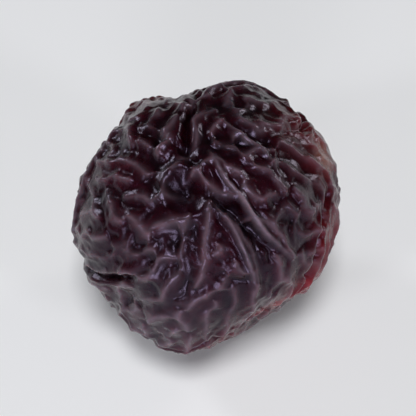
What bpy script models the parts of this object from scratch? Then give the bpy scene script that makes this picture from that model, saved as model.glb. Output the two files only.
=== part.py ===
"""One whole dried cranberry: a plump, wrinkled berry under one closed skin, lying on a small flat spot.

The form is a function of direction. A unit sphere's points are moved out to a rounded body, which
swells into lobes, sinks into creases and pits, and is covered with folds. Lengths are metres, and
angles are degrees. A direction is given by its turn from the front (-Y) towards the right (+X), and
by its rise above the horizon.
"""

import math

import bmesh
import bpy
import numpy as np

# Driving dimensions of the berry
WIDTH = 0.0150
DEPTH = 0.0164
HEIGHT = 0.0136
MEAN_RADIUS = (WIDTH + DEPTH + HEIGHT) / 6

# The spot that it rests on: how much is pressed flat, and how far round it and how much folds are lower
REST_DEPTH = 0.0003
REST_REACH = 24
REST_CALM = 0.75

# The skin's mesh: a fine geodesic sphere, softened a little and thinned where the skin is plain
SPHERE_SUBDIVISIONS = 7
SOFTEN_SHARE = 0.5
SOFTEN_ROUNDS = 3
KEPT_SHARE = 0.142

# Lobes and hollows of the whole body: turn, rise, reach in degrees, and height in metres
LOBES = {
    "upper_right": (62, 52, 30, 0.0002),
    "right_shoulder": (108, 16, 26, 0.0009),
    "top_back": (150, 40, 26, 0.0007),
    "upper_left": (-96, 66, 18, 0.0004),
    "left": (-64, 24, 26, 0.0004),
    "left_shoulder": (-146, 38, 14, 0.0006),
    "lower_left": (-46, -34, 20, -0.0003),
    "lower_front": (-14, -20, 26, 0.0003),
    "right_rim": (76, -6, 20, 0.0002),
    "top_notch": (-160, 46, 13, -0.0008),
    "upper_left_notch": (-120, 27, 13, -0.0006),
    "lower_right_flat": (30, -22, 24, -0.0013),
    "left_hollow": (-38, 2, 14, -0.0007),
    "back_lobe": (172, 0, 26, 0.0006),
    "back_left_lobe": (-140, -6, 24, 0.0006),
    "back_hollow": (-176, 24, 16, -0.0008),
    "right_back_hollow": (128, -16, 18, -0.0009),
}

# Creases where the skin folds in: half width, depth, and the turn and rise of the points passed
CREASES = {
    "diagonal": (0.00022, 0.0003, ((-100, 50), (-60, 74), (0, 68), (12, 56), (28, 42), (37, 16))),
    "left_lobe": (0.00026, 0.0006, ((-80, -6), (-58, 2), (-40, 12), (-24, 26))),
    "top_notch": (0.00026, 0.0005, ((172, 44), (-170, 72), (-60, 82), (-14, 68))),
    "right_rim": (0.00024, 0.0006, ((86, 26), (62, 16), (54, -2), (44, -14), (56, -34))),
    "lower_front": (0.00022, 0.0005, ((-46, -14), (-20, -22), (8, -16), (30, -24))),
    "back_long": (0.00028, 0.0008, ((-176, 52), (168, 30), (176, 8), (166, -10), (-172, -34))),
    "back_left": (0.00026, 0.0007, ((-98, 46), (-118, 26), (-112, 4), (-124, -12), (-112, -34))),
    "back_right": (0.00026, 0.0007, ((96, 56), (110, 40), (132, 30), (128, 8), (118, -20))),
}

# A crease's low lips, in its half widths and as a share of its depth, and how far folds break it up
LIP_PLACE = 2.4
LIP_REACH = 1.2
LIP_SHARE = 0.35
CREASE_BREAK = 0.55
CREASE_WAVER = 0.9

# Long ridges that stand out from the folds: half width, height, and the turn and rise of the points passed
RIDGES = {
    "diagonal": (0.00020, 0.00045, ((10, 78), (20, 64), (28, 53), (33, 39), (46, 16))),
    "diagonal_lower": (0.00017, 0.00032, ((6, 56), (16, 46), (22, 28), (24, 12))),
    "diagonal_upper": (0.00018, 0.00032, ((150, 84), (75, 73), (69, 63), (60, 50))),
    "left_rim": (0.00025, 0.00034, ((-112, 50), (-99, 42), (-87, 30), (-79, 18), (-75, 6), (-76, -6))),
    "top_rim": (0.00022, 0.00034, ((-150, 74), (176, 68), (160, 54), (147, 39), (120, 32))),
}

# A ridge's troughs, in its half widths and as a share of its height, how much folds are lower along
# it where it is this high, and how far folds vary its width
TROUGH_PLACE = 2.2
TROUGH_REACH = 1.0
TROUGH_SHARE = 0.25
RIDGE_FULL = 0.0004
RIDGE_CALM = 0.65
RIDGE_WAVER = 0.7

# How creases and ridges are read along their routes, fade at their ends and fall off at their sides
ROUTE_STEPS = 24
FADE_POWER = 0.6
SIDE_POWER = 1.5

# The puckered pit near the top, where the stem was
PIT_TURN = -13
PIT_RISE = 59
PIT_RADIUS = 0.00054
PIT_DEPTH = 0.0006
PIT_LIP_RADIUS = 0.0013
PIT_LIP_REACH = 0.00045
PIT_LIP_HEIGHT = 0.00028

# The lobed ring that the flower left, low at the back
CALYX_TURN = 150
CALYX_RISE = -12
CALYX_RADIUS = 0.00125
CALYX_RING_REACH = 0.3
CALYX_HEIGHT = 0.00045
CALYX_PIT_REACH = 0.65
CALYX_DEPTH = 0.0006
CALYX_WAVER = 0.3

# The ring's lobes: how many ripples go round it, how strong they are, and their shift in radians
CALYX_RIPPLES = ((5, 1.0, 0), (2, 0.6, 1), (9, 0.4, 2))

# Folds that cover the skin: length of a wave, height, and count and seed of the patches of waves
BROAD_WAVE = 0.0029
BROAD_HEIGHT = 0.00023
BROAD_PATCHES = 130
BROAD_SEED = 13
BROAD_EDGE = 0.1
NARROW_WAVE = 0.0012
NARROW_HEIGHT = 0.00019
NARROW_PATCHES = 430
NARROW_SEED = 25
NARROW_EDGE = 0.75

# How folds run: their turn from the lines away from the pit, and how unlike their neighbours they may be
FOLD_TWIST = -24
TURN_SPREAD = 26
PACE_SPREAD = 0.15
PATCH_SCATTER = 0.6
PATCH_ROUNDS = 10
PATCH_REACH = 2.2
PATCH_LIMIT = 2.8

# How folds rise: narrow valleys between round crests, or narrow crests between round valleys
VALLEY_SHARPNESS = 0.75
CREST_SHARPNESS = 1.3
CREST_ROUNDING = 0.12

# Places where the skin is pulled smooth: turn, rise, reach in degrees, and how much lower the folds are
CALM_PLACES = {
    "pit": (PIT_TURN, PIT_RISE, 8, 0.75),
    "calyx": (CALYX_TURN, CALYX_RISE, 11, 0.8),
    "rest": (0, -90, REST_REACH, REST_CALM),
    "front": (10, 10, 14, 0.65),
    "left": (-72, 26, 13, 0.6),
    "left_back": (-120, -12, 16, 0.5),
    "right_back": (140, 40, 14, 0.5),
}


def clear_scene():
    """Removes whatever objects the file opened with."""
    for thing in list(bpy.data.objects):
        bpy.data.objects.remove(thing, do_unlink=True)


def direction(turn, rise):
    """The unit direction at a turn from the front and a rise above the horizon."""
    turn_angle = math.radians(turn)
    rise_angle = math.radians(rise)
    level = math.cos(rise_angle)
    return np.array([level * math.sin(turn_angle), -level * math.cos(turn_angle), math.sin(rise_angle)])


def unit(rows):
    """Rows scaled to length one."""
    return rows / np.linalg.norm(rows, axis=-1, keepdims=True)


def bell(distance, reach):
    """One at no distance, falling smoothly to nothing beyond a reach."""
    return np.exp(-(distance / reach) ** 2)


def spot(ways, turn, rise, reach):
    """One in a direction, falling smoothly to nothing beyond a reach in degrees."""
    return bell(np.linalg.norm(ways - direction(turn, rise), axis=1), math.radians(reach))


def smooth_route(points):
    """Evenly read directions on a smooth curve through a few directions."""
    corners = np.array([direction(turn, rise) for turn, rise in points])
    padded = np.vstack([2 * corners[0] - corners[1], corners, 2 * corners[-1] - corners[-2]])
    route = []
    for start in range(len(corners) - 1):
        before, here, there, after = padded[start:start + 4]
        for share in np.linspace(0, 1, ROUTE_STEPS // (len(corners) - 1), endpoint=False):
            route.append(0.5 * (
                2 * here
                + (there - before) * share
                + (2 * before - 5 * here + 4 * there - after) * share ** 2
                + (3 * here - before - 3 * there + after) * share ** 3
            ))
    route.append(corners[-1])
    return unit(np.array(route))


def route_gap(ways, half_width, points):
    """How many half widths each direction lies from a route, and how strong the route is there."""
    route = smooth_route(points)
    gap = np.full(len(ways), np.inf)
    along = np.zeros(len(ways))
    for step, (here, there) in enumerate(zip(route[:-1], route[1:])):
        run = there - here
        share = np.clip((ways - here) @ run / (run @ run), 0, 1)
        reach = np.linalg.norm(ways - here - share[:, None] * run, axis=1)
        nearer = reach < gap
        gap = np.where(nearer, reach, gap)
        along = np.where(nearer, (step + share) / (len(route) - 1), along)
    return gap * MEAN_RADIUS / half_width, np.sin(math.pi * along) ** FADE_POWER


def crease_height(ways, half_width, depth, points, broad, narrow):
    """One crease with a low lip along both sides.

    It narrows where broad folds cross it, and narrow folds run down into it.
    """
    gap, strength = route_gap(ways, half_width, points)
    gap *= 1 + CREASE_WAVER * (broad - 0.5)
    lips = LIP_SHARE * bell(gap - LIP_PLACE, LIP_REACH)
    return depth * strength * (1 - CREASE_BREAK * narrow) * (lips - np.exp(-gap ** SIDE_POWER))


def ridge_height(ways, half_width, height, points, broad):
    """One ridge with a low trough along both sides, narrower where broad folds cross it."""
    gap, strength = route_gap(ways, half_width, points)
    gap *= 1 + RIDGE_WAVER * (broad - 0.5)
    troughs = TROUGH_SHARE * bell(gap - TROUGH_PLACE, TROUGH_REACH)
    return height * strength * (np.exp(-gap ** SIDE_POWER) - troughs)


def spread_directions(count, random):
    """Directions spread evenly over the sphere on a spiral, each a little out of place."""
    index = np.arange(count) + 0.5
    height = 1 - 2 * index / count
    level = np.sqrt(1 - height ** 2)
    angle = index * math.pi * (3 - math.sqrt(5))
    spiral = np.stack([level * np.cos(angle), level * np.sin(angle), height], axis=1)
    return unit(spiral + random.normal(0, PATCH_SCATTER / math.sqrt(count), spiral.shape))


def fold_height(ways, wave, count, seed, edge):
    """Folds from 0 in a valley to 1 on a crest, with round crests at an edge of 0 and sharp ones at 1.

    Patches of plane waves lie all over the skin. In each the crests run away from the pit, turned
    a little at random, and its waves are shifted to fall in with its neighbours'. The folds follow
    the sum's phase, so they join and branch where patches disagree.
    """
    random = np.random.default_rng(seed)
    centres = spread_directions(count, random)
    across = unit(np.cross(centres, direction(PIT_TURN, PIT_RISE)))
    ahead = np.cross(centres, across)
    turns = np.radians(random.normal(FOLD_TWIST, TURN_SPREAD, count))[:, None]
    across = np.cos(turns) * across + np.sin(turns) * ahead
    pace = 2 * math.pi * MEAN_RADIUS / wave * random.uniform(1 - PACE_SPREAD, 1 + PACE_SPREAD, count)
    reach = PATCH_REACH / math.sqrt(count)
    shifts = random.uniform(0, 2 * math.pi, count)
    between = centres[:, None, :] - centres[None, :, :]
    near = bell(np.linalg.norm(between, axis=2), reach)
    lead = pace[None, :] * (between * across[None, :, :]).sum(axis=2)
    for _ in range(PATCH_ROUNDS):
        shifts = np.angle((near * np.exp(1j * (lead + shifts[None, :]))).sum(axis=1))
    order = ways[:, 2].argsort()
    sorted_ways = ways[order]
    total = np.zeros(len(ways), dtype=complex)
    for centre, side, speed, shift in zip(centres, across, pace, shifts):
        slab = centre[2] + np.array([-1, 1]) * PATCH_LIMIT * reach
        low, high = np.searchsorted(sorted_ways[:, 2], slab)
        offset = sorted_ways[low:high] - centre
        weight = bell(np.linalg.norm(offset, axis=1), reach)
        total[low:high] += weight * np.exp(1j * (speed * (offset @ side) + shift))
    half_phase = np.angle(total) / 2
    rounded = np.abs(np.cos(half_phase)) ** VALLEY_SHARPNESS
    top = math.hypot(1, CREST_ROUNDING)
    sharp = (top - np.hypot(np.sin(half_phase), CREST_ROUNDING)) / (top - CREST_ROUNDING)
    crests = np.empty(len(ways))
    crests[order] = (1 - edge) * rounded + edge * sharp ** CREST_SHARPNESS
    return crests


def pit_height(ways):
    """A small pit with a raised, puckered lip."""
    gap = np.linalg.norm(ways - direction(PIT_TURN, PIT_RISE), axis=1) * MEAN_RADIUS
    return PIT_LIP_HEIGHT * bell(gap - PIT_LIP_RADIUS, PIT_LIP_REACH) - PIT_DEPTH * bell(gap, PIT_RADIUS)


def calyx_height(ways):
    """The flower's low, lobed ring round a shallow pit."""
    middle = direction(CALYX_TURN, CALYX_RISE)
    side = unit(np.cross(middle, direction(0, 90)))
    offset = ways - middle
    angle = np.arctan2(offset @ np.cross(middle, side), offset @ side)
    ripple = sum(most * np.cos(count * angle + shift) for count, most, shift in CALYX_RIPPLES)
    gap = np.linalg.norm(offset, axis=1) * MEAN_RADIUS / CALYX_RADIUS * (1 + CALYX_WAVER * ripple / 2)
    ring = CALYX_HEIGHT * (1 - CALYX_WAVER * ripple) * bell(gap - 1, CALYX_RING_REACH)
    return ring - CALYX_DEPTH * bell(gap, CALYX_PIT_REACH)


def berry_points(ways):
    """The skin's points for unit directions, about the body's middle."""
    half_sizes = np.array([WIDTH, DEPTH, HEIGHT]) / 2 - BROAD_HEIGHT - NARROW_HEIGHT
    outward = unit(ways / half_sizes)
    broad = fold_height(ways, BROAD_WAVE, BROAD_PATCHES, BROAD_SEED, BROAD_EDGE)
    narrow = fold_height(ways, NARROW_WAVE, NARROW_PATCHES, NARROW_SEED, NARROW_EDGE)
    ridges = np.zeros(len(ways))
    for half_width, top, points in RIDGES.values():
        ridges += ridge_height(ways, half_width, top, points, broad)
    folds = BROAD_HEIGHT * broad + NARROW_HEIGHT * narrow
    folds *= 1 - RIDGE_CALM * np.clip(ridges / RIDGE_FULL, 0, 1)
    for turn, rise, reach, calm in CALM_PLACES.values():
        folds *= 1 - calm * spot(ways, turn, rise, reach)
    height = folds + ridges + pit_height(ways) + calyx_height(ways)
    for turn, rise, reach, swell in LOBES.values():
        height += swell * spot(ways, turn, rise, reach)
    for half_width, depth, points in CREASES.values():
        height += crease_height(ways, half_width, depth, points, broad, narrow)
    return ways * half_sizes + outward * height[:, None]


def settle(points):
    """Flattens the lowest skin to a small level spot, and fits the berry to its size above the origin."""
    level = points[:, 2].min() + REST_DEPTH
    points[:, 2] = np.maximum(points[:, 2], level)
    middle = (points.min(axis=0) + points.max(axis=0)) / 2
    sizes = points.max(axis=0) - points.min(axis=0)
    return (points - np.array([middle[0], middle[1], level])) * np.array([WIDTH, DEPTH, HEIGHT]) / sizes


def skin_material():
    """Dark maroon skin with a soft sheen."""
    material = bpy.data.materials.new("skin")
    material.use_nodes = True
    shader = material.node_tree.nodes["Principled BSDF"]
    shader.inputs["Base Color"].default_value = (0.040, 0.006, 0.010, 1)
    shader.inputs["Roughness"].default_value = 0.3
    shader.inputs["Metallic"].default_value = 0
    return material


def make_berry():
    """The berry's skin as one closed mesh."""
    shape = bmesh.new()
    bmesh.ops.create_icosphere(shape, subdivisions=SPHERE_SUBDIVISIONS, radius=1)
    ways = unit(np.array([point.co[:] for point in shape.verts]))
    for point, place in zip(shape.verts, berry_points(ways)):
        point.co = place
    bmesh.ops.recalc_face_normals(shape, faces=shape.faces)
    mesh = bpy.data.meshes.new("dried_cranberry")
    shape.to_mesh(mesh)
    shape.free()
    berry = bpy.data.objects.new("dried_cranberry", mesh)
    bpy.context.scene.collection.objects.link(berry)
    softened = berry.modifiers.new("softened", "SMOOTH")
    softened.factor = SOFTEN_SHARE
    softened.iterations = SOFTEN_ROUNDS
    berry.modifiers.new("thinned", "DECIMATE").ratio = KEPT_SHARE
    thinned = berry.evaluated_get(bpy.context.evaluated_depsgraph_get())
    berry.data = bpy.data.meshes.new_from_object(thinned)
    berry.modifiers.clear()
    places = settle(np.array([point.co[:] for point in berry.data.vertices]))
    for point, place in zip(berry.data.vertices, places):
        point.co = place
    berry.data.shade_smooth()
    berry.data.materials.append(skin_material())


clear_scene()
make_berry()
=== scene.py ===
"""The looks of one whole dried cranberry: its wrinkled skin, and the camera, floor and lights.

The skin's form is a function of direction, as in the part: a rounded body with lobes, creases,
ridges, a pit and folds. Lengths are metres, and angles are degrees. A direction is given by its turn
from the front (-Y) towards the right (+X), and by its rise above the horizon.
"""

import math

import bmesh
import bpy
import numpy as np
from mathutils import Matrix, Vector


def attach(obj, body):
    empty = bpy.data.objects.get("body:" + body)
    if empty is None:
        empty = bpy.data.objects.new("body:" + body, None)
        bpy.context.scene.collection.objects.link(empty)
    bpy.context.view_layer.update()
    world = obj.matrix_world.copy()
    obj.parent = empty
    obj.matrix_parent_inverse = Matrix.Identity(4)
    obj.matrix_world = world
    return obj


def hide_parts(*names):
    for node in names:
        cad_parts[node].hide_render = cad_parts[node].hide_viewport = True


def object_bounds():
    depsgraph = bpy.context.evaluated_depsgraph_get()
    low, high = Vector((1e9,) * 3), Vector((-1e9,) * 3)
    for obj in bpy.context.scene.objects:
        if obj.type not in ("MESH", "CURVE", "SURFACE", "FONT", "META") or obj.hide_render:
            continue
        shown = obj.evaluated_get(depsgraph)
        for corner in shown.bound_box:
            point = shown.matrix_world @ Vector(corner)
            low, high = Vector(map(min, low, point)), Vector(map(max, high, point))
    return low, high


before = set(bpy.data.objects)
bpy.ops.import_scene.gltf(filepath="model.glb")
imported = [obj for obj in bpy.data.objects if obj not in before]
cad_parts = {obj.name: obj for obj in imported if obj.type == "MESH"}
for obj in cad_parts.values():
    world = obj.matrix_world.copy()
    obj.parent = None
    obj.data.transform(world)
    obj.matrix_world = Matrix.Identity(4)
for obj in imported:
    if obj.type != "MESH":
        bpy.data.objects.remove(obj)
cad_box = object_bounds()

# The berry's size, read from the frame
BOX_LOW, BOX_HIGH = (np.array(corner) for corner in cad_box)
SIZES = BOX_HIGH - BOX_LOW
MEAN_RADIUS = float(SIZES.sum()) / 6

# The spot that it rests on: how much is pressed flat, and how far round it and how much folds are lower
REST_DEPTH = 0.0003
REST_REACH = 24
REST_CALM = 0.75

# The skin's mesh: how often each edge of an icosahedron is cut, and how the result is softened
EDGE_CUTS = 98
SOFTEN_SHARE = 0.25
SOFTEN_ROUNDS = 2

# Lobes and hollows of the whole body: turn, rise, reach in degrees, and height in metres
LOBES = {
    "upper_right": (62, 52, 30, 0.0002),
    "right_shoulder": (108, 16, 26, 0.0009),
    "top_back": (150, 40, 26, 0.0007),
    "upper_left": (-96, 66, 18, 0.0004),
    "left": (-64, 24, 26, 0.0004),
    "left_shoulder": (-146, 38, 14, 0.0006),
    "lower_left": (-46, -34, 20, -0.0003),
    "lower_front": (-14, -20, 26, 0.0003),
    "right_rim": (76, -6, 20, 0.0002),
    "top_notch": (-160, 46, 13, -0.0008),
    "upper_left_notch": (-120, 27, 13, -0.0006),
    "lower_right_flat": (30, -22, 24, -0.0013),
    "left_hollow": (-38, 2, 14, -0.0007),
    "back_lobe": (172, 0, 26, 0.0006),
    "back_left_lobe": (-140, -6, 24, 0.0006),
    "back_hollow": (-176, 24, 16, -0.0008),
    "right_back_hollow": (128, -16, 18, -0.0009),
}

# Creases where the skin folds in: half width, depth, and the turn and rise of the points passed
CREASES = {
    "diagonal": (0.00022, 0.0003, ((-100, 50), (-60, 74), (0, 68), (12, 56), (28, 42), (37, 16))),
    "left_lobe": (0.00026, 0.0006, ((-80, -6), (-58, 2), (-40, 12), (-24, 26))),
    "top_notch": (0.00026, 0.0005, ((172, 44), (-170, 72), (-60, 82), (-14, 68))),
    "right_rim": (0.00024, 0.0006, ((86, 26), (62, 16), (54, -2), (44, -14), (56, -34))),
    "lower_front": (0.00022, 0.0005, ((-46, -14), (-20, -22), (8, -16), (30, -24))),
    "back_long": (0.00028, 0.0008, ((-176, 52), (168, 30), (176, 8), (166, -10), (-172, -34))),
    "back_left": (0.00026, 0.0007, ((-98, 46), (-118, 26), (-112, 4), (-124, -12), (-112, -34))),
    "back_right": (0.00026, 0.0007, ((96, 56), (110, 40), (132, 30), (128, 8), (118, -20))),
}

# A crease's low lips, in its half widths and as a share of its depth, and how far folds break it up
LIP_PLACE = 2.4
LIP_REACH = 1.2
LIP_SHARE = 0.35
CREASE_BREAK = 0.55
CREASE_WAVER = 0.9

# Long ridges that stand out from the folds: half width, height, and the turn and rise of the points passed
RIDGES = {
    "diagonal": (0.00020, 0.00045, ((10, 78), (20, 64), (28, 53), (33, 39), (46, 16))),
    "diagonal_lower": (0.00017, 0.00032, ((6, 56), (16, 46), (22, 28), (24, 12))),
    "diagonal_upper": (0.00018, 0.00032, ((150, 84), (75, 73), (69, 63), (60, 50))),
    "left_rim": (0.00025, 0.00034, ((-112, 50), (-99, 42), (-87, 30), (-79, 18), (-75, 6), (-76, -6))),
    "top_rim": (0.00022, 0.00034, ((-150, 74), (176, 68), (160, 54), (147, 39), (120, 32))),
}

# A ridge's troughs, in its half widths and as a share of its height, how much folds are lower along
# it where it is this high, and how far folds vary its width
TROUGH_PLACE = 2.2
TROUGH_REACH = 1.0
TROUGH_SHARE = 0.25
RIDGE_FULL = 0.0004
RIDGE_CALM = 0.65
RIDGE_WAVER = 0.7

# How creases and ridges are read along their routes, fade at their ends and fall off at their sides
ROUTE_STEPS = 24
FADE_POWER = 0.6
SIDE_POWER = 1.5

# The puckered pit near the top, where the stem was
PIT_TURN = -13
PIT_RISE = 59
PIT_RADIUS = 0.00054
PIT_DEPTH = 0.0006
PIT_LIP_RADIUS = 0.0013
PIT_LIP_REACH = 0.00045
PIT_LIP_HEIGHT = 0.00028

# The lobed ring that the flower left, low at the back
CALYX_TURN = 150
CALYX_RISE = -12
CALYX_RADIUS = 0.00125
CALYX_RING_REACH = 0.3
CALYX_HEIGHT = 0.00045
CALYX_PIT_REACH = 0.65
CALYX_DEPTH = 0.0006
CALYX_WAVER = 0.3

# The ring's lobes: how many ripples go round it, how strong they are, and their shift in radians
CALYX_RIPPLES = ((5, 1.0, 0), (2, 0.6, 1), (9, 0.4, 2))

# Folds that cover the skin: length of a wave, height, count and seed of the patches of waves, and how
# sharp the crests are, from 0 for round to 1
BROAD_WAVE = 0.0029
BROAD_HEIGHT = 0.00023
BROAD_PATCHES = 130
BROAD_SEED = 13
BROAD_EDGE = 0.1
NARROW_WAVE = 0.0012
NARROW_HEIGHT = 0.00019
NARROW_PATCHES = 430
NARROW_SEED = 25
NARROW_EDGE = 0.75
FINE_WAVE = 0.0007
FINE_HEIGHT = 0.00006
FINE_PATCHES = 1500
FINE_SEED = 37
FINE_EDGE = 0.6

# How folds run: their turn from the lines away from the pit, and how unlike their neighbours they may be
FOLD_TWIST = -24
TURN_SPREAD = 26
PACE_SPREAD = 0.15
PATCH_SCATTER = 0.6
PATCH_ROUNDS = 10
PATCH_REACH = 2.2
PATCH_LIMIT = 2.8

# How folds rise: narrow valleys between round crests, or narrow crests between round valleys
VALLEY_SHARPNESS = 0.75
CREST_SHARPNESS = 1.3
CREST_ROUNDING = 0.12

# Places where the skin is pulled smooth: turn, rise, reach in degrees, and how much lower the folds are
CALM_PLACES = {
    "pit": (PIT_TURN, PIT_RISE, 8, 0.75),
    "calyx": (CALYX_TURN, CALYX_RISE, 11, 0.8),
    "rest": (0, -90, REST_REACH, REST_CALM),
    "front": (10, 10, 14, 0.65),
    "left": (-72, 26, 13, 0.6),
    "left_back": (-120, -12, 16, 0.5),
    "right_back": (140, 40, 14, 0.5),
}

# How far the skin's colour is a crest's, which paints shade into the valleys: shares of the three
# sizes of fold, and less in the creases, as more painted shade, where they are this deep
CREST_SHARES = (0.40, 0.40, 0.20)
SUNK_FULL = 0.0006
CREASE_SHADE_SHARE = 0.8

# How pale and how narrow the painted highlight lines are on the long ridges and on the narrow folds'
# crests, the least of the latter in broad valleys, and how much weaker all of them are where the skin is
# red
RIDGE_SHARE = 1.35
RIDGE_POWER = 1.6
LINE_SHARE = 0.7
LINE_POWER = 3
LINE_LEAST = 0.35
LINE_FADE = 0.8

# Places where the whole skin is paler as a painted sheen, most so on crests: turn, rise, reach in degrees,
# and strength
PAINTED_SHEEN_PLACES = {
    "lower_front": (-20, -10, 24, 0.4),
    "lower_left": (-66, -10, 20, 0.15),
}

# Places where the skin is thin and shows a painted red glow, or is tan: turn, rise, reach in degrees, and
# strength
RED_GLOW_PLACES = {
    "right": (84, -12, 20, 0.6),
    "right_front": (72, 8, 14, 0.8),
    "lower_right": (56, -8, 15, 1.1),
    "lower_front": (40, -14, 12, 1.0),
    "upper_right": (104, 34, 18, 0.6),
    "left": (-92, -8, 10, 0.4),
    "back": (170, -18, 26, 0.8),
    "back_left": (-150, 30, 22, 0.6),
    "under_front": (10, -30, 20, 0.4),
}
TAN_PLACES = {
    "upper_right": (98, 29, 6, 0.9),
    "lower_left": (-78, -24, 5, 0.3),
}

# How tan the flower's ring is, and how far to its sides, as a share of its radius
CALYX_TINT = 0.45
CALYX_TINT_REACH = 0.4

# Colours of the skin: from the valleys, darkened as painted shade, to the crests, and where it is thin, dry
# or raised
SKIN_AND_SHADE_COLOURS = (
    (0.10, (0.0030, 0.0003, 0.0009)),
    (0.45, (0.0105, 0.0006, 0.0022)),
    (0.75, (0.0210, 0.0012, 0.0040)),
    (1.00, (0.0400, 0.0030, 0.0075)),
)
# Painted red glow, as of light shining through thin skin
RED_GLOW_COLOUR = (0.180, 0.0100, 0.0120)
TAN_COLOUR = (0.280, 0.120, 0.080)
# Painted highlight: pale greyish violet on the ridges, the narrow crests and the sheen places
PAINTED_HIGHLIGHT_COLOUR = (0.153, 0.112, 0.142)

# The skin's noise: blotches to the metre, how many finer layers it has, and how strong they are
BLOTCHES = (320, 3, 0.5)
MOTTLE = (2400, 4, 0.6)
GRAIN = (5200, 4, 0.62)

# How far noise shifts the skin's colour between a valley's and a crest's
BLOTCH_SHIFT = 0.9
MOTTLE_SHIFT = 0.5

# How much of the painted red glow shows in valleys, and of the tan and the painted highlight marks where
# the mottling is darkest
RED_GLOW_LEAST = 0.20
MARK_LEAST = 0.25

# The skin's roughness: the least of it, and how far blotches, mottling and the painted highlight lines
# change it
ROUGH_LEAST = 0.16
ROUGH_BLOTCHES = 0.10
ROUGH_MOTTLE = 0.10
ROUGH_LINES = -0.10

# How strong and how high the grain is
GRAIN_STRENGTH = 0.30
GRAIN_HEIGHT = 0.00005

# The skin's reflections, and the light that runs under it: its share, and how far each colour gets
SPECULAR_LEVEL = 0.30
SPECULAR_TINT = (0.74, 0.62, 0.96)
FLESH_SHARE = 0.25
FLESH_REACH = (1.0, 0.16, 0.10)
FLESH_SCALE = 0.0006

# The floor: half its side, its two colours, the noise that blends them, and its finish
FLOOR_HALF = 1.5
FLOOR_COLOURS = ((0.93, 0.93, 0.94), (0.95, 0.95, 0.955))
FLOOR_NOISE = (40, 3, 0.5)
FLOOR_ROUGHNESS = 0.7
FLOOR_SPECULAR = 0.2

# Lights: place, size, power in watts, and colour
LIGHTS = {
    "overhead": ((0.0, -0.16, 0.42), 0.14, 1.15, (0.98, 0.99, 1.0)),
    "front_left": ((-0.34, -0.32, 0.24), 0.08, 0.38, (0.93, 0.95, 1.0)),
    "front_right": ((0.34, -0.30, 0.18), 0.08, 0.32, (0.95, 0.94, 1.0)),
    "front_low": ((-0.04, -0.42, 0.07), 0.12, 0.60, (0.96, 0.95, 1.0)),
    "back_left": ((-0.38, 0.26, 0.20), 0.09, 0.50, (0.94, 0.97, 1.0)),
    "back_right": ((0.36, 0.28, 0.14), 0.09, 0.30, (1.0, 0.98, 0.97)),
}
SURROUND_COLOUR = (0.96, 0.97, 1.0)
SURROUND_STRENGTH = 0.04

# The camera: its angle above level, lens and film in millimetres, the share of the frame that the
# berry fills, and the nearest that it sees
VIEW_RISE = 46
LENS = 85
FILM = 36
FRAME_SHARE = 0.64
NEAREST = 0.001


def direction(turn, rise):
    """The unit direction at a turn from the front and a rise above the horizon."""
    turn_angle = math.radians(turn)
    rise_angle = math.radians(rise)
    level = math.cos(rise_angle)
    return np.array([level * math.sin(turn_angle), -level * math.cos(turn_angle), math.sin(rise_angle)])


def unit(rows):
    """Rows scaled to length one."""
    return rows / np.linalg.norm(rows, axis=-1, keepdims=True)


def bell(distance, reach):
    """One at no distance, falling smoothly to nothing beyond a reach."""
    return np.exp(-(distance / reach) ** 2)


def spot(ways, turn, rise, reach):
    """One in a direction, falling smoothly to nothing beyond a reach in degrees."""
    return bell(np.linalg.norm(ways - direction(turn, rise), axis=1), math.radians(reach))


def smooth_route(points):
    """Evenly read directions on a smooth curve through a few directions."""
    corners = np.array([direction(turn, rise) for turn, rise in points])
    padded = np.vstack([2 * corners[0] - corners[1], corners, 2 * corners[-1] - corners[-2]])
    route = []
    for start in range(len(corners) - 1):
        before, here, there, after = padded[start:start + 4]
        for share in np.linspace(0, 1, ROUTE_STEPS // (len(corners) - 1), endpoint=False):
            route.append(0.5 * (
                2 * here
                + (there - before) * share
                + (2 * before - 5 * here + 4 * there - after) * share ** 2
                + (3 * here - before - 3 * there + after) * share ** 3
            ))
    route.append(corners[-1])
    return unit(np.array(route))


def route_gap(ways, half_width, points):
    """How many half widths each direction lies from a route, and how strong the route is there."""
    route = smooth_route(points)
    gap = np.full(len(ways), np.inf)
    along = np.zeros(len(ways))
    for step, (here, there) in enumerate(zip(route[:-1], route[1:])):
        run = there - here
        share = np.clip((ways - here) @ run / (run @ run), 0, 1)
        reach = np.linalg.norm(ways - here - share[:, None] * run, axis=1)
        nearer = reach < gap
        gap = np.where(nearer, reach, gap)
        along = np.where(nearer, (step + share) / (len(route) - 1), along)
    return gap * MEAN_RADIUS / half_width, np.sin(math.pi * along) ** FADE_POWER


def crease_height(ways, half_width, depth, points, broad, narrow):
    """One crease with a low lip along both sides.

    It narrows where broad folds cross it, and narrow folds run down into it.
    """
    gap, strength = route_gap(ways, half_width, points)
    gap *= 1 + CREASE_WAVER * (broad - 0.5)
    lips = LIP_SHARE * bell(gap - LIP_PLACE, LIP_REACH)
    return depth * strength * (1 - CREASE_BREAK * narrow) * (lips - np.exp(-gap ** SIDE_POWER))


def ridge_height(ways, half_width, height, points, broad):
    """One ridge with a low trough along both sides, narrower where broad folds cross it."""
    gap, strength = route_gap(ways, half_width, points)
    gap *= 1 + RIDGE_WAVER * (broad - 0.5)
    troughs = TROUGH_SHARE * bell(gap - TROUGH_PLACE, TROUGH_REACH)
    return height * strength * (np.exp(-gap ** SIDE_POWER) - troughs)


def spread_directions(count, random):
    """Directions spread evenly over the sphere on a spiral, each a little out of place."""
    index = np.arange(count) + 0.5
    height = 1 - 2 * index / count
    level = np.sqrt(1 - height ** 2)
    angle = index * math.pi * (3 - math.sqrt(5))
    spiral = np.stack([level * np.cos(angle), level * np.sin(angle), height], axis=1)
    return unit(spiral + random.normal(0, PATCH_SCATTER / math.sqrt(count), spiral.shape))


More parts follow.
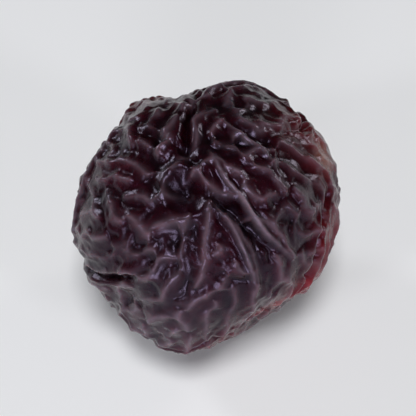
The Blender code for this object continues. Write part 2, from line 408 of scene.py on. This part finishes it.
def fold_height(ways, wave, count, seed, edge):
    """Folds from 0 in a valley to 1 on a crest, with round crests at an edge of 0 and sharp ones at 1.

    Patches of plane waves lie all over the skin. In each the crests run away from the pit, turned
    a little at random, and its waves are shifted to fall in with its neighbours'. The folds follow
    the sum's phase, so they join and branch where patches disagree.
    """
    random = np.random.default_rng(seed)
    centres = spread_directions(count, random)
    across = unit(np.cross(centres, direction(PIT_TURN, PIT_RISE)))
    ahead = np.cross(centres, across)
    turns = np.radians(random.normal(FOLD_TWIST, TURN_SPREAD, count))[:, None]
    across = np.cos(turns) * across + np.sin(turns) * ahead
    pace = 2 * math.pi * MEAN_RADIUS / wave * random.uniform(1 - PACE_SPREAD, 1 + PACE_SPREAD, count)
    reach = PATCH_REACH / math.sqrt(count)
    shifts = random.uniform(0, 2 * math.pi, count)
    between = centres[:, None, :] - centres[None, :, :]
    near = bell(np.linalg.norm(between, axis=2), reach)
    lead = pace[None, :] * (between * across[None, :, :]).sum(axis=2)
    for _ in range(PATCH_ROUNDS):
        shifts = np.angle((near * np.exp(1j * (lead + shifts[None, :]))).sum(axis=1))
    order = ways[:, 2].argsort()
    sorted_ways = ways[order]
    total = np.zeros(len(ways), dtype=complex)
    for centre, side, speed, shift in zip(centres, across, pace, shifts):
        slab = centre[2] + np.array([-1, 1]) * PATCH_LIMIT * reach
        low, high = np.searchsorted(sorted_ways[:, 2], slab)
        offset = sorted_ways[low:high] - centre
        weight = bell(np.linalg.norm(offset, axis=1), reach)
        total[low:high] += weight * np.exp(1j * (speed * (offset @ side) + shift))
    half_phase = np.angle(total) / 2
    rounded = np.abs(np.cos(half_phase)) ** VALLEY_SHARPNESS
    top = math.hypot(1, CREST_ROUNDING)
    sharp = (top - np.hypot(np.sin(half_phase), CREST_ROUNDING)) / (top - CREST_ROUNDING)
    crests = np.empty(len(ways))
    crests[order] = (1 - edge) * rounded + edge * sharp ** CREST_SHARPNESS
    return crests


def pit_height(ways):
    """A small pit with a raised, puckered lip."""
    gap = np.linalg.norm(ways - direction(PIT_TURN, PIT_RISE), axis=1) * MEAN_RADIUS
    return PIT_LIP_HEIGHT * bell(gap - PIT_LIP_RADIUS, PIT_LIP_REACH) - PIT_DEPTH * bell(gap, PIT_RADIUS)


def calyx_gap(ways):
    """How far each direction lies from the middle of the flower's ring, where 1 is on it, and its lobes."""
    middle = direction(CALYX_TURN, CALYX_RISE)
    side = unit(np.cross(middle, direction(0, 90)))
    offset = ways - middle
    angle = np.arctan2(offset @ np.cross(middle, side), offset @ side)
    ripple = sum(most * np.cos(count * angle + shift) for count, most, shift in CALYX_RIPPLES)
    gap = np.linalg.norm(offset, axis=1) * MEAN_RADIUS / CALYX_RADIUS * (1 + CALYX_WAVER * ripple / 2)
    return gap, ripple


def calyx_height(ways):
    """The flower's low, lobed ring round a shallow pit."""
    gap, ripple = calyx_gap(ways)
    ring = CALYX_HEIGHT * (1 - CALYX_WAVER * ripple) * bell(gap - 1, CALYX_RING_REACH)
    return ring - CALYX_DEPTH * bell(gap, CALYX_PIT_REACH)


def place_strength(ways, places):
    """The strongest of several soft spots."""
    strength = np.zeros(len(ways))
    for turn, rise, reach, most in places.values():
        strength = np.maximum(strength, most * spot(ways, turn, rise, reach))
    return strength


def berry_form(ways):
    """The skin's points for unit directions, how far its fine wrinkles rise there, and its marks.

    The marks run from 0 to about 1: up to the crests, which paints shade into the valleys and creases,
    on lines of painted highlight, where the skin shows a painted red glow, and where it is tan.
    """
    half_sizes = SIZES / 2 - BROAD_HEIGHT - NARROW_HEIGHT
    outward = unit(ways / half_sizes)
    broad = fold_height(ways, BROAD_WAVE, BROAD_PATCHES, BROAD_SEED, BROAD_EDGE)
    narrow = fold_height(ways, NARROW_WAVE, NARROW_PATCHES, NARROW_SEED, NARROW_EDGE)
    fine = fold_height(ways, FINE_WAVE, FINE_PATCHES, FINE_SEED, FINE_EDGE)
    creases = np.zeros(len(ways))
    for half_width, depth, points in CREASES.values():
        creases += crease_height(ways, half_width, depth, points, broad, narrow)
    ridges = np.zeros(len(ways))
    for half_width, top, points in RIDGES.values():
        ridges += ridge_height(ways, half_width, top, points, broad)
    pit = pit_height(ways)
    sunk = np.clip(-(creases + pit) / SUNK_FULL, 0, 1)
    raised = np.clip(ridges / RIDGE_FULL, 0, 1)
    calm = 1 - RIDGE_CALM * raised
    for turn, rise, reach, share in CALM_PLACES.values():
        calm *= 1 - share * spot(ways, turn, rise, reach)
    height = calm * (BROAD_HEIGHT * broad + NARROW_HEIGHT * narrow)
    height += creases + ridges + pit + calyx_height(ways)
    for turn, rise, reach, swell in LOBES.values():
        height += swell * spot(ways, turn, rise, reach)
    # Painted shade: the crest mark is low in the valleys and lower still in the creases
    crest = sum(share * fold for share, fold in zip(CREST_SHARES, (broad, narrow, fine)))
    crest = np.maximum(crest * (1 - CREASE_SHADE_SHARE * sunk), raised)
    # Painted highlights: pale lines on the long ridges and the narrow folds' crests, and a painted sheen in
    # a few places
    ridge_highlight = RIDGE_SHARE * raised ** RIDGE_POWER
    painted_highlight = LINE_SHARE * narrow ** LINE_POWER * (LINE_LEAST + (1 - LINE_LEAST) * broad) * (1 - sunk)
    painted_highlight = np.maximum(painted_highlight, ridge_highlight) + place_strength(ways, PAINTED_SHEEN_PLACES) * crest
    # Painted red glow, as of light shining through thin skin
    red = place_strength(ways, RED_GLOW_PLACES)
    calyx = CALYX_TINT * bell(calyx_gap(ways)[0] - 1, CALYX_TINT_REACH)
    marks = {
        "crest": crest,
        "painted_highlight": painted_highlight * (1 - LINE_FADE * np.minimum(red, 1)),
        "red": red,
        "tan": np.maximum(place_strength(ways, TAN_PLACES), calyx),
    }
    return ways * half_sizes + outward * height[:, None], FINE_HEIGHT * (fine * calm - 0.5), marks


def settle(points):
    """Flattens the lowest skin to a small level spot, and fits the berry to the frame's box."""
    level = points[:, 2].min() + REST_DEPTH
    points[:, 2] = np.maximum(points[:, 2], level)
    low = points.min(axis=0)
    sizes = points.max(axis=0) - low
    return BOX_LOW + (points - low) * SIZES / sizes


def point_rows(mesh, name):
    """What a mesh says of each point, as rows of three numbers."""
    rows = np.empty(len(mesh.vertices) * 3, dtype=np.float32)
    mesh.vertices.foreach_get(name, rows)
    return rows.reshape(-1, 3).astype(float)


def set_places(mesh, places):
    """Moves a mesh's points."""
    mesh.vertices.foreach_set("co", places.astype(np.float32).ravel())
    mesh.update()


def soften(mesh):
    """Rounds the sharpest valleys and crests a little."""
    edges = np.empty(len(mesh.edges) * 2, dtype=np.int32)
    mesh.edges.foreach_get("vertices", edges)
    ends = edges.reshape(-1, 2)
    counts = np.bincount(edges, minlength=len(mesh.vertices))[:, None]
    places = point_rows(mesh, "co")
    for _ in range(SOFTEN_ROUNDS):
        sums = np.zeros_like(places)
        np.add.at(sums, ends[:, 0], places[ends[:, 1]])
        np.add.at(sums, ends[:, 1], places[ends[:, 0]])
        places += SOFTEN_SHARE * (sums / counts - places)
    set_places(mesh, places)


def make_berry(material):
    """The berry's skin, with every fold down to the fine wrinkles in its mesh."""
    shape = bmesh.new()
    bmesh.ops.create_icosphere(shape, subdivisions=1, radius=1)
    bmesh.ops.subdivide_edges(shape, edges=shape.edges[:], cuts=EDGE_CUTS, use_grid_fill=True)
    bmesh.ops.triangulate(shape, faces=shape.faces)
    mesh = bpy.data.meshes.new("berry_skin")
    shape.to_mesh(mesh)
    shape.free()
    points, wrinkles, marks = berry_form(unit(point_rows(mesh, "co")))
    set_places(mesh, points)
    set_places(mesh, points + point_rows(mesh, "normal") * wrinkles[:, None])
    soften(mesh)
    set_places(mesh, settle(point_rows(mesh, "co")))
    for name, values in marks.items():
        mesh.attributes.new(name, "FLOAT", "POINT").data.foreach_set("value", values.astype(np.float32))
    mesh.shade_smooth()
    mesh.materials.append(material)
    berry = bpy.data.objects.new("berry_skin", mesh)
    bpy.context.scene.collection.objects.link(berry)
    return berry


def node(tree, kind, **values):
    """A shader node with some of its inputs and settings filled in."""
    made = tree.nodes.new(kind)
    for name, value in values.items():
        label = name.replace("_", " ")
        if label in made.inputs:
            made.inputs[label].default_value = value
        else:
            setattr(made, name, value)
    return made


def fill(tree, socket, value):
    """Sets a socket to a number or a colour, or joins it to another socket."""
    if isinstance(value, (int, float)):
        socket.default_value = value
    elif isinstance(value, tuple):
        socket.default_value = (*value, 1)
    else:
        tree.links.new(value, socket)


def combine(tree, operation, *values, clamp=False):
    """The result of arithmetic on sockets and numbers."""
    made = node(tree, "ShaderNodeMath", operation=operation, use_clamp=clamp)
    for socket, value in zip(made.inputs, values):
        fill(tree, socket, value)
    return made.outputs[0]


def mix_colour(tree, share, first, second):
    """A blend of two colours, each a socket or three numbers."""
    made = node(tree, "ShaderNodeMix", data_type="RGBA")
    fill(tree, made.inputs["Factor"], share)
    sockets = [socket for socket in made.inputs if socket.type == "RGBA"]
    for socket, value in zip(sockets, (first, second)):
        fill(tree, socket, value)
    return next(entry for entry in made.outputs if entry.type == "RGBA")


def noise(tree, place, scale, detail, roughness):
    """Smooth noise with about this many blotches to the metre."""
    made = node(tree, "ShaderNodeTexNoise", Scale=scale, Detail=detail, Roughness=roughness)
    tree.links.new(place, made.inputs["Vector"])
    return made.outputs["Fac"]


def colour_ramp(tree, level, stops):
    """Colours that follow a level."""
    made = tree.nodes.new("ShaderNodeValToRGB")
    tree.links.new(level, made.inputs["Fac"])
    elements = made.color_ramp.elements
    elements[0].position = stops[0][0]
    elements[1].position = stops[-1][0]
    for position, _ in stops[1:-1]:
        elements.new(position)
    for element, (_, colour) in zip(elements, stops):
        element.color = (*colour, 1)
    return made.outputs["Color"]


def skin_material():
    """Dark maroon skin with painted shade, nearly black in the valleys and wine red on the crests, with a
    painted red glow, painted highlight lines and a soft sheen.
    """
    material = bpy.data.materials.new("cranberry_skin")
    material.use_nodes = True
    tree = material.node_tree
    shader = tree.nodes["Principled BSDF"]
    place = node(tree, "ShaderNodeTexCoord").outputs["Object"]
    crest, painted_highlight, red, tan = (
        node(tree, "ShaderNodeAttribute", attribute_name=name).outputs["Fac"]
        for name in ("crest", "painted_highlight", "red", "tan")
    )
    blotches = noise(tree, place, *BLOTCHES)
    mottle = noise(tree, place, *MOTTLE)

    # Painted shade: the ramp runs from nearly black in the valleys to wine red on the crests
    level = combine(tree, "MULTIPLY_ADD", blotches, BLOTCH_SHIFT, -BLOTCH_SHIFT / 2)
    level = combine(tree, "ADD", level, crest)
    mottle_level = combine(tree, "MULTIPLY_ADD", mottle, MOTTLE_SHIFT, -MOTTLE_SHIFT / 2)
    colour = colour_ramp(tree, combine(tree, "ADD", level, mottle_level), SKIN_AND_SHADE_COLOURS)
    for mark, beside, least, tint in (
        # Painted red glow, stronger on the crests
        (red, crest, RED_GLOW_LEAST, RED_GLOW_COLOUR),
        (tan, mottle, MARK_LEAST, TAN_COLOUR),
        # Painted highlights in pale lines over the colour so far
        (painted_highlight, mottle, MARK_LEAST, PAINTED_HIGHLIGHT_COLOUR),
    ):
        share = combine(tree, "MULTIPLY", mark, combine(tree, "ADD", beside, least), clamp=True)
        colour = mix_colour(tree, share, colour, tint)
    tree.links.new(colour, shader.inputs["Base Color"])

    rough = combine(tree, "MULTIPLY_ADD", blotches, ROUGH_BLOTCHES, ROUGH_LEAST)
    rough = combine(tree, "MULTIPLY_ADD", mottle, ROUGH_MOTTLE, rough)
    rough = combine(tree, "MULTIPLY_ADD", painted_highlight, ROUGH_LINES, rough)
    tree.links.new(rough, shader.inputs["Roughness"])

    bump = node(tree, "ShaderNodeBump", Strength=GRAIN_STRENGTH, Distance=GRAIN_HEIGHT)
    tree.links.new(noise(tree, place, *GRAIN), bump.inputs["Height"])
    tree.links.new(bump.outputs["Normal"], shader.inputs["Normal"])

    shader.inputs["Specular IOR Level"].default_value = SPECULAR_LEVEL
    shader.inputs["Specular Tint"].default_value = (*SPECULAR_TINT, 1)
    shader.inputs["Subsurface Weight"].default_value = FLESH_SHARE
    shader.inputs["Subsurface Radius"].default_value = FLESH_REACH
    shader.inputs["Subsurface Scale"].default_value = FLESH_SCALE
    return material


def floor_material():
    """Plain white paper, very faintly uneven."""
    material = bpy.data.materials.new("white_floor")
    material.use_nodes = True
    tree = material.node_tree
    shader = tree.nodes["Principled BSDF"]
    place = node(tree, "ShaderNodeTexCoord").outputs["Object"]
    blend = noise(tree, place, *FLOOR_NOISE)
    tree.links.new(mix_colour(tree, blend, *FLOOR_COLOURS), shader.inputs["Base Color"])
    shader.inputs["Roughness"].default_value = FLOOR_ROUGHNESS
    shader.inputs["Specular IOR Level"].default_value = FLOOR_SPECULAR
    return material


def make_floor():
    """A wide pale floor under the berry."""
    corners = [(x * FLOOR_HALF, y * FLOOR_HALF, 0) for x, y in ((-1, -1), (1, -1), (1, 1), (-1, 1))]
    mesh = bpy.data.meshes.new("floor")
    mesh.from_pydata(corners, [], [(0, 1, 2, 3)])
    mesh.materials.append(floor_material())
    floor = bpy.data.objects.new("floor", mesh)
    bpy.context.scene.collection.objects.link(floor)


def light_studio(aim):
    """Soft square lights above and all round, and a dim, even surround."""
    for name, (place, size, power, colour) in LIGHTS.items():
        data = bpy.data.lights.new(name, "AREA")
        data.shape = "SQUARE"
        data.size = size
        data.energy = power
        data.color = colour
        light = bpy.data.objects.new(name, data)
        light.location = place
        light.rotation_euler = (Vector(aim) - Vector(place)).to_track_quat("-Z", "Y").to_euler()
        bpy.context.scene.collection.objects.link(light)
    world = bpy.data.worlds.new("studio")
    bpy.context.scene.world = world
    world.use_nodes = True
    background = world.node_tree.nodes["Background"]
    background.inputs["Color"].default_value = (*SURROUND_COLOUR, 1)
    background.inputs["Strength"].default_value = SURROUND_STRENGTH


def make_camera(aim):
    """A camera at the photo's angle above level, with the berry filling most of the frame's width."""
    data = bpy.data.cameras.new("camera")
    data.lens = LENS
    data.sensor_width = FILM
    data.clip_start = NEAREST
    distance = float(SIZES[0]) / FRAME_SHARE * LENS / FILM
    rise = math.radians(VIEW_RISE)
    camera = bpy.data.objects.new("camera", data)
    camera.location = Vector(aim) + distance * Vector((0, -math.cos(rise), math.sin(rise)))
    camera.rotation_euler = (math.pi / 2 - rise, 0, 0)
    bpy.context.scene.collection.objects.link(camera)
    bpy.context.scene.camera = camera


middle = tuple(float(value) for value in (BOX_LOW + BOX_HIGH) / 2)
make_camera(middle)
make_floor()
light_studio(middle)
berry = make_berry(skin_material())
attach(berry, "root")
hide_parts("dried_cranberry")
bpy.context.scene.view_settings.view_transform = "Standard"
